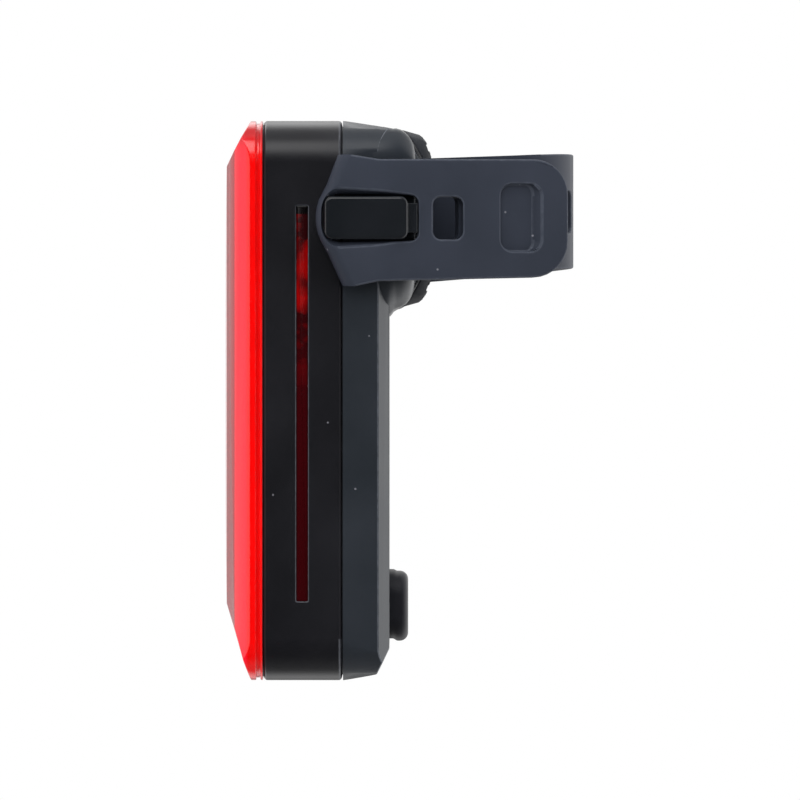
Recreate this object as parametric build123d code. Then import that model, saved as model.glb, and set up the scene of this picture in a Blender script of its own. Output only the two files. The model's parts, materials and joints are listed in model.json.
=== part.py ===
from build123d import *
import math
import os

os.makedirs("parts", exist_ok=True)

# Bicycle rear light with a silicone post strap, in millimetres.
# The origin lies on the seat post's axis at the strap's middle height, +Z runs up the post,
# the lens faces -X and the strap goes round the post at +X.

# Seat post and strap
post_radius = 12.7
strap_width = 21.0
strap_fold_z = -0.9
strap_flare_end_z = -0.75
strap_tip_z = -0.25
strap_tip_width = 20.5
strap_wrap_z = 1.25
strap_wrap_width = 20.1
strap_flare = 0.9
flare_end_from_rear = 7.0
strap_bend_from_rear = 1.2
strap_thickness = 2.0
strap_layer_gap = 0.4
bend_gap = 0.25
tail_reach_x = 13.2
tail_corner_radius = 6.3
root_corner_radius = 4.0
fold_depth = 1.55
fold_arc_height = 4.35
nose_half_height = 5.5
nose_depth = 1.8
tail_hinge_from_tip = 4.35
loop_hole_length = 5.2
loop_hole_corner = 1.4
loop_hole_pitch_deg = 42.0
loop_hole_start_deg = 24.0
loop_hole_count = 3
run_hinge_deg = 45.0
fold_relief = 0.3
recess_length = 7.6
recess_height = 11.8
recess_depth = 0.8
recess_from_tip = 7.9
recess_corner = 2.1
second_hole_from_tip = 20.8
side_gap = 0.3

# Body outline, seen from the front
body_width = 38.0
body_height = 97.9
body_top_z = 16.8
outline_radius = 7.5
wall = 2.0

# Depths, from the rear face towards the lens
rear_face_gap = 5.1
cover_depth = 8.1
seam_gap = 0.2
housing_depth = 13.6
lens_gap = 0.2
lens_depth = 6.35
lens_crown = 0.5
seam_chamfer = 0.35

# Lens facets
lens_wall = 1.8
lens_rim = 2.1
lens_groove_from_back = 0.45
lens_groove_width = 0.7
lens_groove_depth = 0.45
top_slope_height = 8.0
bottom_slope_height = 12.3
facet_depth = 1.5
facet_step = 4.6
side_slope_width = 2.2
skirt_wall = 1.25
skirt_length = 1.1
fit_gap = 0.15

# Light engine
led_count = 8
led_end_gap = 6.95
led_size = 3.0
led_height = 0.8
cup_small_radius = 2.4
cup_large_radius = 4.6
optic_plate = 0.8
optic_edge_gap = 6.4
lenslet_radius = 3.9
lenslet_height = 1.2
board_thickness = 1.2
ledge_width = 1.4
ledge_thickness = 1.2

# Side windows
window_width = 2.05
window_from_top = 15.05
window_from_bottom = 14.0
window_from_front = 5.7
window_corner = 1.0
window_inset = 0.25
window_flange = 0.9
window_flange_thickness = 0.9

# Back cover
rear_chamfer_depth = 1.9
rear_chamfer_width = 2.9
rear_side_draft = 0.3
cover_top_drop = 1.4
foot_chamfer_depth = 2.2
foot_chamfer_height = 4.5
foot_drop = 1.15

# Round boss turned about the X axis, in three layers that follow the post
pad_thickness = 3.2
bracket_thickness = 0.6
boss_rim_radius = 15.75
boss_rim_height = 1.2
boss_height = 7.5
boss_corner_radius = 14.0
boss_fillet = 3.4
grip_pitch = 2.3
grip_width = 1.0
grip_depth = 0.5
grip_count = 11

# Hooks
hook_length = 14.5
hook_height = 7.5
hook_thickness = 2.5
hook_corner = 1.4
hook_edge = 0.6
hook_z = -0.45
hook_layer_gap = 0.2
arm_length = 4.4
arm_height = 5.1
arm_reach = 4.85
arm_drop = 1.0
arm_start_y = 8.7
hook_slot_gap_nose = 0.85
hook_slot_gap_arm = 0.2
hook_slot_nose_height = 10.4
hook_slot_arm_gap = 0.35
hook_slot_nose_corner = 3.0
hook_slot_arm_corner = 1.5
hook_step = 1.6

# Electronics and battery
cell_thickness = 8.0
cell_from_top = 17.0
cell_from_bottom = 16.9
tray_wall = 1.0
tray_side_gap = 0.8
battery_pad_width = 20.0
battery_pad_height = 16.0
battery_pad_above_button = 18.05
main_board_side_gap = 4.5
main_board_from_top = 30.9
main_board_from_rear = 5.6
main_board_foot = 5.0
switch_size = 6.0
switch_height = 1.8
plunger_radius = 1.6
plunger_gap = 0.1
standoff_radius = 1.8
link_width = 10.0
link_height = 2.5
link_from_bottom = 8.6

# Power button
button_width = 14.0
button_height = 12.1
button_corner = 4.0
button_proud = 3.3
button_edge_top = 1.5
button_from_bottom = 13.05
button_gap = 0.2
button_flange = 0.6
button_flange_thickness = 0.7
button_travel = 0.6

# Charging port and its cover
port_from_bottom = 43.1
port_cover_length = 13.0
port_cover_height = 7.0
port_cover_thickness = 1.2
port_cover_end_y = -6.0
port_recess_gap = 0.15
port_floor_gap = 0.1
port_hinge_gap = 0.25
port_anchor_length = 2.0
connector_width = 8.94
connector_height = 3.26
connector_depth = 6.5
connector_wall = 0.3
connector_back = 1.0
tongue_width = 6.2
tongue_thickness = 0.7
tongue_setback = 1.3
connector_below_floor = 0.1
plug_margin = 0.45
plug_depth = 1.0

# Screws
screw_radius = 1.15
screw_head_radius = 1.9
screw_head_height = 1.3
screw_length = 10.0
screw_counterbore = 3.0
screw_from_side = 7.5
screw_from_bottom = 9.6
screw_post_radius = 3.0
bracket_screw_z = 8.0
bracket_screw_radius = 1.25
bracket_screw_head_radius = 2.3
bracket_screw_length = 4.0

# Stations along X, worked out from the depths
rear_x = -(post_radius + rear_face_gap)
seam_x = rear_x - cover_depth
housing_rear_x = seam_x - seam_gap
housing_front_x = housing_rear_x - housing_depth
lens_back_x = housing_front_x - lens_gap
lens_rim_x = lens_back_x - lens_rim
lens_front_x = lens_back_x - lens_depth
cover_inner_x = rear_x - wall
rim_x = rear_x + boss_rim_height
boss_end_x = rear_x + boss_height
board_front_x = lens_back_x + skirt_length
board_rear_x = board_front_x + board_thickness
ledge_rear_x = board_rear_x + ledge_thickness
tray_front_x = ledge_rear_x
cell_front_x = tray_front_x + tray_wall
cell_rear_x = cell_front_x + cell_thickness
main_rear_x = rear_x - main_board_from_rear
main_front_x = main_rear_x - board_thickness

# Heights
body_bottom_z = body_top_z - body_height
body_mid_z = body_top_z - body_height / 2
button_z = body_bottom_z + button_from_bottom
screw_z = body_bottom_z + screw_from_bottom
link_z = body_bottom_z + link_from_bottom
window_height = body_height - window_from_top - window_from_bottom
window_z = body_top_z - window_from_top - window_height / 2
port_z = body_bottom_z + port_from_bottom
led_pitch = (body_height - 2 * led_end_gap) / led_count
window_x = housing_front_x + window_from_front + window_width / 2
cell_height = body_height - cell_from_top - cell_from_bottom
cell_z = body_top_z - cell_from_top - cell_height / 2
main_board_height = body_height - main_board_foot - main_board_from_top
main_board_z = body_bottom_z + main_board_foot + main_board_height / 2
battery_pad_z = button_z + battery_pad_above_button

# Widths
half_width = body_width / 2
pad_radius = post_radius + pad_thickness
bracket_radius = pad_radius + bracket_thickness
cell_width = body_width - 2 * (wall + window_flange_thickness + tray_side_gap + tray_wall)
main_board_width = body_width - 2 * main_board_side_gap
screw_y = half_width - screw_from_side
far = 60.0

# Strap layers beside the body, counted outwards
layer_inner = half_width + side_gap + strap_thickness / 2
layer_outer = layer_inner + strap_thickness + strap_layer_gap
hook_inner_y = layer_inner + strap_thickness / 2 + hook_layer_gap
hook_outer_y = hook_inner_y + hook_thickness
arm_rear_x = rear_x + arm_reach
arm_front_x = arm_rear_x - arm_length
hook_rear_x = arm_rear_x - hook_step
hook_front_x = hook_rear_x - hook_length
slot_front_x = hook_front_x - hook_slot_gap_nose
slot_rear_x = arm_rear_x + hook_slot_gap_arm
fold_tip_x = hook_front_x - fold_depth
bend_x = rear_x - strap_bend_from_rear
flare_end_x = rear_x + flare_end_from_rear

# The strap's centre line leaves the wrap round the post on a tangent to the bend
wrap_radius = post_radius + strap_thickness / 2
bend_distance = math.hypot(bend_x, layer_inner)
bend_angle = math.atan2(-layer_inner, bend_x)
wrap_half = -bend_angle - math.acos(wrap_radius / bend_distance)
leave_x = wrap_radius * math.cos(wrap_half)
leave_y = wrap_radius * math.sin(wrap_half)
run_slope = (layer_inner - leave_y) / (leave_x - bend_x)
run_hinge_angle = math.radians(run_hinge_deg)
run_hinge = (wrap_radius * math.cos(run_hinge_angle), -wrap_radius * math.sin(run_hinge_angle))
tail_hinge = (fold_tip_x + tail_hinge_from_tip, -layer_outer)
outer_offset = layer_outer - layer_inner
outer_bend_x = bend_x + outer_offset * math.tan(math.atan(run_slope) / 2)


def block(x0, x1, y0, y1, z0, z1):
    # Box between two corners
    return Pos((x0 + x1) / 2, (y0 + y1) / 2, (z0 + z1) / 2) * Box(x1 - x0, y1 - y0, z1 - z0)


def bodyPrism(x0, x1, inset):
    # The body's rounded front outline, drawn in by inset, between two stations
    radius = max(outline_radius - inset, 0.8)
    outline = RectangleRounded(body_width - 2 * inset, body_height - 2 * inset, radius)
    return extrude(Plane.YZ.offset(x0) * Pos(0, body_mid_z) * outline, x1 - x0)


def sidePrism(face):
    # A side view drawn in X and Z, pushed through the whole width
    return extrude(Plane.XZ * face, far, both=True)


def planPrism(face):
    # A plan view drawn in X and Y, pushed through the whole height
    return extrude(face, 2 * far, both=True)


def rod(x0, x1, y, z, radius):
    # Round bar along X
    return extrude(Plane.YZ.offset(x0) * Pos(y, z) * Circle(radius), x1 - x0)


def padPrism(x0, x1, width, height, z, radius):
    # Rounded rectangle seen along X, between two stations
    outline = RectangleRounded(width, height, radius)
    return extrude(Plane.YZ.offset(x0) * Pos(0, z) * outline, x1 - x0)


def ledHeights():
    return [body_mid_z + (i - (led_count - 1) / 2) * led_pitch for i in range(led_count)]


def lensSideFace():
    # Side view: sloped top and bottom faces and a gently crowned front
    back = lens_back_x + far
    high = body_top_z
    low = body_bottom_z
    top = (lens_front_x, high - top_slope_height)
    foot = (lens_front_x, low + bottom_slope_height)
    middle = (lens_front_x - lens_crown, (top[1] + foot[1]) / 2)
    walls = Polyline(foot, (lens_rim_x, low), (back, low), (back, high), (lens_rim_x, high), top)
    return make_face(walls + ThreePointArc(top, middle, foot))


def lensPlanFace():
    # Plan view: two facets on each side of a crowned front
    back = lens_back_x + far
    facet_x = lens_front_x + facet_depth
    facet_y = half_width - side_slope_width
    front_y = facet_y - facet_step
    left = (lens_front_x, front_y)
    right = (lens_front_x, -front_y)
    middle = (lens_front_x - lens_crown, 0)
    walls = Polyline(
        right, (facet_x, -facet_y), (lens_rim_x, -half_width), (back, -half_width),
        (back, half_width), (lens_rim_x, half_width), (facet_x, facet_y), left)
    return make_face(walls + ThreePointArc(left, middle, right))


def makeFrontLens():
    front = lens_front_x - lens_crown - 1
    flange_x = lens_back_x - lens_rim
    opening = wall + fit_gap + skirt_wall
    outside = bodyPrism(front, lens_back_x, 0)
    outside = outside & sidePrism(lensSideFace()) & planPrism(lensPlanFace())
    inside = Pos(lens_wall, 0, 0)
    hollow = bodyPrism(front, flange_x, lens_wall)
    hollow = hollow & inside * sidePrism(lensSideFace()) & inside * planPrism(lensPlanFace())
    groove_x = lens_back_x - lens_groove_from_back
    groove = bodyPrism(groove_x - lens_groove_width, groove_x, -1)
    outside = outside - (groove - bodyPrism(groove_x - lens_groove_width, groove_x, lens_groove_depth))
    skirt = bodyPrism(lens_back_x, board_front_x, wall + fit_gap)
    return outside + skirt - hollow - bodyPrism(flange_x - 0.5, board_front_x, opening)


def makeLensSeal():
    ring = bodyPrism(lens_back_x, housing_front_x, wall / 3)
    return ring - bodyPrism(lens_back_x, housing_front_x, wall)


def makeInnerOptic():
    # Clear plate with one lenslet over each light source
    front = lens_back_x - lens_rim + optic_plate
    plate = bodyPrism(front - optic_plate, front, optic_edge_gap)
    ball = (lenslet_radius ** 2 + lenslet_height ** 2) / (2 * lenslet_height)
    top = front - optic_plate - lenslet_height
    for z in ledHeights():
        cap = Pos(top + ball, 0, z) * Sphere(ball)
        plate = plate + (cap & block(top - 1, front - optic_plate / 2, -far, far, z - far, z + far))
    return plate


def makeReflector():
    # Tray with a flared cup round each light source
    inset = wall + 2 * fit_gap + skirt_wall
    front = lens_back_x - lens_rim + optic_plate
    depth = board_front_x - front
    tray = bodyPrism(front, board_front_x, inset)
    for z in ledHeights():
        seat = Plane(origin=(front, 0, z), z_dir=(1, 0, 0))
        cup = Cone(cup_large_radius, cup_small_radius, depth, align=(Align.CENTER, Align.CENTER, Align.MIN))
        tray = tray - seat * cup
    return tray


def makeLedBoard():
    return bodyPrism(board_front_x, board_rear_x, wall + fit_gap)


def makeLed(z):
    # Square package with a round emitting dome
    package = block(
        board_front_x - led_height * 0.6, board_front_x,
        -led_size / 2, led_size / 2, z - led_size / 2, z + led_size / 2)
    return package + rod(board_front_x - led_height, board_front_x, 0, z, led_size * 0.4)


def windowFace(grow):
    face = RectangleRounded(window_width + 2 * grow, window_height + 2 * grow, window_corner + grow)
    return Pos(window_x, window_z) * face


def windowPrism(side, y0, y1, grow):
    # A window outline between two distances from the middle plane, on one side
    face = Plane.XZ * windowFace(grow)
    prism = extrude(face, y1 - y0)
    if side < 0:
        return Pos(0, -y0, 0) * prism
    return Pos(0, y1, 0) * prism


def makeMainHousing():
    ends = bodyPrism(housing_front_x, housing_rear_x, 0)
    rims = ends.faces().filter_by(Axis.X).edges()
    shell = chamfer(rims, seam_chamfer) - bodyPrism(housing_front_x, housing_rear_x, wall)
    ledge = bodyPrism(board_rear_x, ledge_rear_x, wall / 2)
    shell = shell + (ledge - bodyPrism(board_rear_x, ledge_rear_x, wall + ledge_width))
    for side in (-1, 1):
        shell = shell - windowPrism(side, half_width - wall - 1, half_width + 1, 0)
        post = rod(ledge_rear_x - ledge_thickness, housing_rear_x, side * screw_y, screw_z, screw_post_radius)
        web = block(
            ledge_rear_x - ledge_thickness, housing_rear_x, side * screw_y - 0.6, side * screw_y + 0.6,
            body_bottom_z + wall / 2, screw_z)
        pilot = rod(housing_rear_x - screw_length, housing_rear_x, side * screw_y, screw_z, screw_radius)
        shell = shell + post + web - pilot
    return shell


def makeSideWindow(side):
    # Light strip in the side wall, with a flange behind the wall
    inner = half_width - wall
    strip = windowPrism(side, inner - window_flange_thickness, half_width - window_inset, 0)
    flange = windowPrism(side, inner - window_flange_thickness, inner, window_flange)
    return strip + flange


def makeHousingGasket():
    ring = bodyPrism(housing_rear_x, seam_x, wall / 2)
    return ring - bodyPrism(housing_rear_x, seam_x, wall)


def coverSideFace():
    # Side view: slightly falling top, straight rear and a two-step foot
    front = seam_x - far / 2
    return make_face(Polyline(
        (front, body_top_z), (seam_x, body_top_z), (rear_x, body_top_z - cover_top_drop),
        (rear_x, body_bottom_z + foot_drop + foot_chamfer_height),
        (rear_x - foot_chamfer_depth, body_bottom_z + foot_drop),
        (seam_x, body_bottom_z), (front, body_bottom_z), close=True))


def coverPlanFace():
    # Plan view: near straight sides and broad rear chamfers
    front = seam_x - far / 2
    edge_x = rear_x - rear_chamfer_depth
    edge_y = half_width - rear_side_draft
    rear_y = edge_y - rear_chamfer_width
    return make_face(Polyline(
        (front, half_width), (seam_x, half_width), (edge_x, edge_y), (rear_x, rear_y),
        (rear_x, -rear_y), (edge_x, -edge_y), (seam_x, -half_width), (front, -half_width), close=True))


def bossCap():
    # Round cap about the X axis with a sloped flank and a rounded rim
    face = make_face(Polyline(
        (cover_inner_x, 0), (cover_inner_x, boss_rim_radius), (rim_x, boss_rim_radius),
        (boss_end_x, boss_corner_radius), (boss_end_x, 0), close=True))
    corner = face.vertices().sort_by(Axis.X)[-2:].sort_by(Axis.Y)[-1]
    return revolve(fillet(corner, boss_fillet), Axis.X)


def postBar(radius):
    return Cylinder(radius, 2 * far)


def capLayer(inner, outer):
    # The part of the cap between two radii round the post
    return (bossCap() & postBar(outer)) - postBar(inner)


def armBlock(side, grow, y_end):
    # The bracket's side arm, square in section
    low = hook_z - arm_height / 2 - grow
    high = hook_z + arm_height / 2 + grow
    ys = sorted((side * (arm_start_y - grow), side * y_end))
    return block(arm_front_x - grow, arm_rear_x, ys[0], ys[1], low, high)


def buttonPrism(x0, x1, grow):
    return padPrism(
        x0, x1, button_width + 2 * grow, button_height + 2 * grow, button_z, button_corner + grow)


def makeBackCover():
    shape = bodyPrism(seam_x, rear_x, 0) & sidePrism(coverSideFace()) & planPrism(coverPlanFace())
    hollow = bodyPrism(seam_x - 1, cover_inner_x, wall)
    hollow = hollow & sidePrism(offset(coverSideFace(), -wall)) & planPrism(offset(coverPlanFace(), -wall))
    cover = shape - hollow + (bossCap() - postBar(bracket_radius))
    for side in (-1, 1):
        # Channels that key the bracket's arms into the boss
        cover = cover - armBlock(side, fit_gap, far)
        y = side * screw_y
        cover = cover + rod(housing_rear_x, cover_inner_x + wall / 2, y, screw_z, screw_post_radius)
        cover = cover - rod(housing_rear_x, rear_x, y, screw_z, screw_radius)
        cover = cover - rod(rear_x - screw_counterbore, rear_x + 1, y, screw_z, screw_head_radius + fit_gap)
        # Standoffs that the main board rests on, and the bracket's screw holes
        for z in (main_board_z + main_board_height * 0.4, main_board_z - main_board_height * 0.2):
            y = side * main_board_width * 0.36
            cover = cover + rod(main_rear_x, cover_inner_x + wall / 2, y, z, standoff_radius)
        cover = cover - screwBore(side * bracket_screw_z)
    cover = cover - buttonPrism(cover_inner_x - 1, rear_x + 1, button_gap)
    recess_end = port_cover_end_y + port_cover_length + port_cover_thickness / 2 + port_hinge_gap
    floor_x = rear_x - port_cover_thickness - port_floor_gap
    half = port_cover_height / 2 + port_recess_gap
    cover = cover - block(
        floor_x, rear_x + 1, port_cover_end_y - port_recess_gap, recess_end, port_z - half, port_z + half)
    anchor = port_cover_height / 3
    cover = cover - block(
        floor_x, rear_x + 1, recess_end, recess_end + port_anchor_length, port_z - anchor, port_z + anchor)
    return cover - padPrism(
        cover_inner_x - 1, rear_x, connector_width + 2 * fit_gap, connector_height + 2 * fit_gap,
        port_z, connector_height / 2)


def makePortAnchor():
    # Fixed end of the rubber port cover, pressed into its own pocket
    recess_end = port_cover_end_y + port_cover_length + port_cover_thickness / 2 + port_hinge_gap
    floor_x = rear_x - port_cover_thickness - port_floor_gap
    anchor = port_cover_height / 3
    return block(
        floor_x, rear_x, recess_end, recess_end + port_anchor_length, port_z - anchor, port_z + anchor)


def makePortCover():
    # Rubber flap with a round hinge end, a plug for the socket and a thumb notch
    hinge_x = rear_x - port_cover_thickness / 2
    hinge_y = port_cover_end_y + port_cover_length
    back_x = rear_x - port_cover_thickness
    low = port_z - port_cover_height / 2
    high = port_z + port_cover_height / 2
    flap = block(back_x, rear_x, port_cover_end_y, hinge_y, low, high)
    barrel = Pos(hinge_x, hinge_y, port_z) * Cylinder(port_cover_thickness / 2, port_cover_height)
    plug = padPrism(
        back_x - plug_depth, back_x + port_cover_thickness / 2,
        connector_width - 2 * connector_wall - 2 * plug_margin,
        connector_height - 2 * connector_wall - 2 * plug_margin, port_z, 0.8)
    notch = Pos(rear_x, port_cover_end_y, port_z) * Cylinder(port_cover_thickness * 0.7, port_cover_height / 2)
    return flap + barrel + plug - notch


def makeMainBoard():
    board = block(
        main_front_x, main_rear_x, -main_board_width / 2, main_board_width / 2,
        main_board_z - main_board_height / 2, main_board_z + main_board_height / 2)
    for side in (-1, 1):
        radius = screw_post_radius + 2 * fit_gap
        board = board - rod(main_front_x, main_rear_x, side * screw_y, screw_z, radius)
        board = board - block(
            main_front_x, main_rear_x, min(side * screw_y, side * far), max(side * screw_y, side * far),
            screw_z - far, screw_z + screw_post_radius + 2 * fit_gap)
    return board - padPrism(
        main_front_x, main_rear_x, connector_width, connector_height, port_z, connector_height / 2 - 0.01)


def makeConnector():
    # Upright charging socket that stands through the main board
    mouth = rear_x - port_cover_thickness - port_floor_gap - connector_below_floor
    outer = padPrism(
        mouth - connector_depth, mouth, connector_width, connector_height, port_z, connector_height / 2 - 0.01)
    inner = padPrism(
        mouth - connector_depth + connector_back, mouth, connector_width - 2 * connector_wall,
        connector_height - 2 * connector_wall, port_z, connector_height / 2 - connector_wall - 0.01)
    tongue = block(
        mouth - connector_depth, mouth - tongue_setback, -tongue_width / 2, tongue_width / 2,
        port_z - tongue_thickness / 2, port_z + tongue_thickness / 2)
    return outer - inner + tongue


def makeSwitch():
    # Square switch body with a bore for its plunger
    half = switch_size / 2
    body = block(main_rear_x, main_rear_x + switch_height, -half, half, button_z - half, button_z + half)
    radius = plunger_radius + plunger_gap
    return body - rod(main_rear_x + 0.4, main_rear_x + switch_height, 0, button_z, radius)


def makePlunger():
    start = main_rear_x + 0.4 + button_travel + plunger_gap
    return rod(start, cover_inner_x - fit_gap - button_flange_thickness, 0, button_z, plunger_radius)


def makePowerButton():
    # Rounded rubber cap that passes through the rear wall, with a flange behind it
    top = rear_x + button_proud
    cap = buttonPrism(cover_inner_x - fit_gap - button_flange_thickness, top, 0)
    rim = cap.faces().sort_by(Axis.X)[-1].edges()
    cap = fillet(rim, button_edge_top)
    flange_x = cover_inner_x - fit_gap
    return cap + buttonPrism(flange_x - button_flange_thickness, flange_x, button_flange)


def makeBatteryCell():
    # Flat pouch cell with rounded long edges
    face = RectangleRounded(cell_thickness, cell_width, cell_thickness * 0.35)
    low = cell_z - cell_height / 2
    return extrude(Plane.XY.offset(low) * Pos((cell_front_x + cell_rear_x) / 2, 0) * face, cell_height)


def makeBatteryTray():
    # Open cradle that seats on the housing's inner ledge
    floor_width = body_width - 2 * wall - 2 * fit_gap
    low = cell_z - cell_height / 2 - tray_wall
    high = cell_z + cell_height / 2 + tray_wall
    half = cell_width / 2
    tray = block(tray_front_x, cell_front_x, -floor_width / 2, floor_width / 2, low, high)
    rim = block(cell_front_x, cell_rear_x, -half - tray_wall, half + tray_wall, low, high)
    return tray + rim - block(cell_front_x, cell_rear_x, -half, half, low + tray_wall, high - tray_wall)


def makeBatteryPad():
    # Foam block that holds the cell against the tray
    half_y = battery_pad_width / 2
    half_z = battery_pad_height / 2
    return block(
        cell_rear_x, main_front_x, -half_y, half_y, battery_pad_z - half_z, battery_pad_z + half_z)


def makeBoardLink():
    return block(
        board_rear_x, main_front_x, -link_width / 2, link_width / 2,
        link_z - link_height / 2, link_z + link_height / 2)


def makeCoverScrew(side):
    y = side * screw_y
    seat = rear_x - screw_counterbore
    head = rod(seat, seat + screw_head_height, y, screw_z, screw_head_radius)
    return head + rod(housing_rear_x - screw_length, seat, y, screw_z, screw_radius)


def screwHeadX():
    # The bracket's screw heads end just under the pad
    return -math.sqrt(pad_radius ** 2 + bracket_screw_head_radius ** 2)


def makeBracketScrew(z):
    # Countersunk screw along X
    top = screwHeadX()
    taper = bracket_screw_head_radius - bracket_screw_radius
    head = Cone(
        bracket_screw_head_radius, bracket_screw_radius, taper,
        align=(Align.CENTER, Align.CENTER, Align.MIN))
    shank = rod(top - bracket_screw_length, top - taper, 0, z, bracket_screw_radius)
    return Plane(origin=(top, 0, z), z_dir=(-1, 0, 0)) * head + shank


def screwBore(z):
    # The screw's own shape, run out towards the post so that its head is open to the pad
    return makeBracketScrew(z) + rod(screwHeadX(), 0, 0, z, bracket_screw_head_radius)


def makeHook(side):
    # Flat head that points to the lens, on the outer end of the bracket's arm
    middle = Pos((hook_front_x + hook_rear_x) / 2, hook_z)
    face = middle * RectangleRounded(hook_length, hook_height, hook_corner)
    head = extrude(Plane.XZ * face, hook_thickness)
    head = Pos(0, -hook_inner_y, 0) * head
    head = fillet(head.faces().sort_by(Axis.Y)[0].edges(), hook_edge)
    if side > 0:
        head = mirror(head, about=Plane.XZ)
    return head


def makeStrapBracket():
    plate = capLayer(pad_radius, bracket_radius)
    for side in (-1, 1):
        plate = plate - armBlock(side, 0, boss_rim_radius + 1)
        plate = plate + armBlock(side, 0, hook_outer_y - arm_drop) + makeHook(side)
        plate = plate - screwBore(side * bracket_screw_z)
    return plate


def makeMountPad():
    # Rubber cap over the bracket with a ribbed saddle for the post
    pad = capLayer(post_radius, pad_radius)
    for side in (-1, 1):
        pad = pad - armBlock(side, fit_gap, far)
    for i in range(grip_count):
        z = (i - (grip_count - 1) / 2) * grip_pitch
        groove = Pos(0, 0, z) * Cylinder(post_radius + grip_depth, grip_width)
        pad = pad - groove
    return pad


def bar(p, q, thickness):
    # Flat strip in plan between two points
    angle = math.degrees(math.atan2(q[1] - p[1], q[0] - p[0]))
    length = math.hypot(q[0] - p[0], q[1] - p[1])
    middle = ((p[0] + q[0]) / 2, (p[1] + q[1]) / 2)
    return Pos(*middle) * Rot(0, 0, angle) * Rectangle(length, thickness)


def roundEnd(p, thickness):
    return Pos(*p) * Circle(thickness / 2)


def alongStrap(face):
    # Plan view of a strap part, pushed up and down past the strap's edges
    return extrude(face, strap_width, both=True)


def acrossPrism(face):
    # Side view of a hole or outline, pushed through the near side only
    return extrude(Plane.XZ * face, far)


def strapOutline(x0, x1, end_z, end_width):
    # Side view of the strap: wider beside the hook, with its other end raised and narrower
    half = strap_width / 2
    wide = half + strap_flare
    low, high = strap_fold_z - wide, strap_fold_z + wide
    return make_face(Polyline(
        (x0, high), (tail_hinge[0], high), (flare_end_x, strap_flare_end_z + half), (x1, end_z + end_width / 2),
        (x1, end_z - end_width / 2), (flare_end_x, strap_flare_end_z - half), (tail_hinge[0], low), (x0, low),
        close=True))


def wrapOutline(x0):
    return strapOutline(x0, post_radius + strap_thickness, strap_wrap_z, strap_wrap_width)


def middleHeight(x):
    # Height of the strap's middle between its flared part and the back of the post
    share = (x - flare_end_x) / (post_radius + strap_thickness - flare_end_x)
    return strap_flare_end_z + share * (strap_wrap_z - strap_flare_end_z)


def hookSlot(x0):
    # Opening for the hook, drawn in X and Z: tall round the nose and close to the arm
    nose = hook_slot_nose_height / 2
    arm = hook_height / 2 + hook_slot_arm_gap
    face = make_face(Polyline(
        (x0, hook_z + nose), (slot_rear_x, hook_z + arm), (slot_rear_x, hook_z - arm), (x0, hook_z - nose),
        close=True))
    corners = face.vertices().sort_by(Axis.X)
    face = fillet(corners[:2], hook_slot_nose_corner)
    return fillet(face.vertices().sort_by(Axis.X)[-2:], hook_slot_arm_corner)


def foldOutline():
    # Side view of the folded end: a round nose beyond the hook between two slanting flanks
    wide = strap_width / 2 + strap_flare + 0.1
    top, foot = strap_fold_z + wide, strap_fold_z - wide
    nose_x = fold_tip_x + nose_depth
    back_x = fold_tip_x + fold_arc_height
    high, low = hook_z + nose_half_height, hook_z - nose_half_height
    nose = ThreePointArc((nose_x, high), (fold_tip_x, hook_z), (nose_x, low))
    flanks = Polyline((nose_x, low), (back_x, foot), (far, foot), (far, top), (back_x, top), (nose_x, high))
    return make_face(nose + flanks)


def wrapBand(a0, a1):
    # Plan view of the strap round the post between two angles
    middle = (a0 + a1) / 2
    ends = [[(r * math.cos(a), r * math.sin(a)) for a in (a0, middle, a1)] for r in (
        post_radius, post_radius + strap_thickness)]
    inner, outer = ends
    return make_face(
        ThreePointArc(*inner) + Line(inner[2], outer[2]) + ThreePointArc(*outer) + Line(outer[0], inner[0]))


def loopHole():
    # Outline of one of the strap's even holes
    return RectangleRounded(loop_hole_length, hook_height, loop_hole_corner)


def wrapHole(degrees):
    # Hole through the strap round the post, at an angle
    x = wrap_radius * math.cos(math.radians(degrees))
    hole = Plane.YZ * Pos(0, middleHeight(x)) * loopHole()
    return Rot(0, 0, degrees) * extrude(hole, far)


def makeStrapRun():
    # From the hinge behind the post, along the inner layer, to the fold round the hook's nose
    start = (bend_x, -layer_inner)
    fold_mid = (layer_inner + layer_outer) / 2
    fold_radius = (outer_offset + strap_thickness) / 2
    centre_x = fold_tip_x + fold_radius
    plan = wrapBand(-wrap_half, -run_hinge_angle) + roundEnd(run_hinge, strap_thickness)
    plan = plan + bar((leave_x, -leave_y), start, strap_thickness) + roundEnd(start, strap_thickness)
    plan = plan + bar(start, (centre_x, -layer_inner), strap_thickness)
    stub_end = tail_hinge[0] - strap_thickness / 2 - bend_gap
    plan = plan + bar((centre_x, -layer_outer), (stub_end, -layer_outer), strap_thickness)
    fold = Pos(centre_x, -fold_mid) * Circle(fold_radius)
    plan = plan + (fold - Pos(centre_x + far / 2, -fold_mid) * Rectangle(far, far))
    run = alongStrap(plan) & sidePrism(foldOutline()) & sidePrism(wrapOutline(fold_tip_x - 1))
    relief = extrude(Plane.XZ * hookSlot(fold_tip_x - 2), fold_mid - fold_relief)
    run = run - acrossPrism(hookSlot(slot_front_x)) - relief
    run = run - wrapHole(-loop_hole_start_deg - loop_hole_pitch_deg)
    # One more hole on the straight between the post and the hook
    rest = wrap_radius * math.radians(loop_hole_start_deg + 2 * loop_hole_pitch_deg) - wrap_radius * wrap_half
    x = leave_x - rest * math.cos(math.atan(run_slope))
    y = -leave_y - (leave_x - x) * run_slope
    turn = Rot(0, 0, -90 + math.degrees(math.atan(run_slope)))
    hole = turn * extrude(Plane.YZ * loopHole(), strap_thickness, both=True)
    return run - Pos(x, y, middleHeight(x)) * hole


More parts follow.
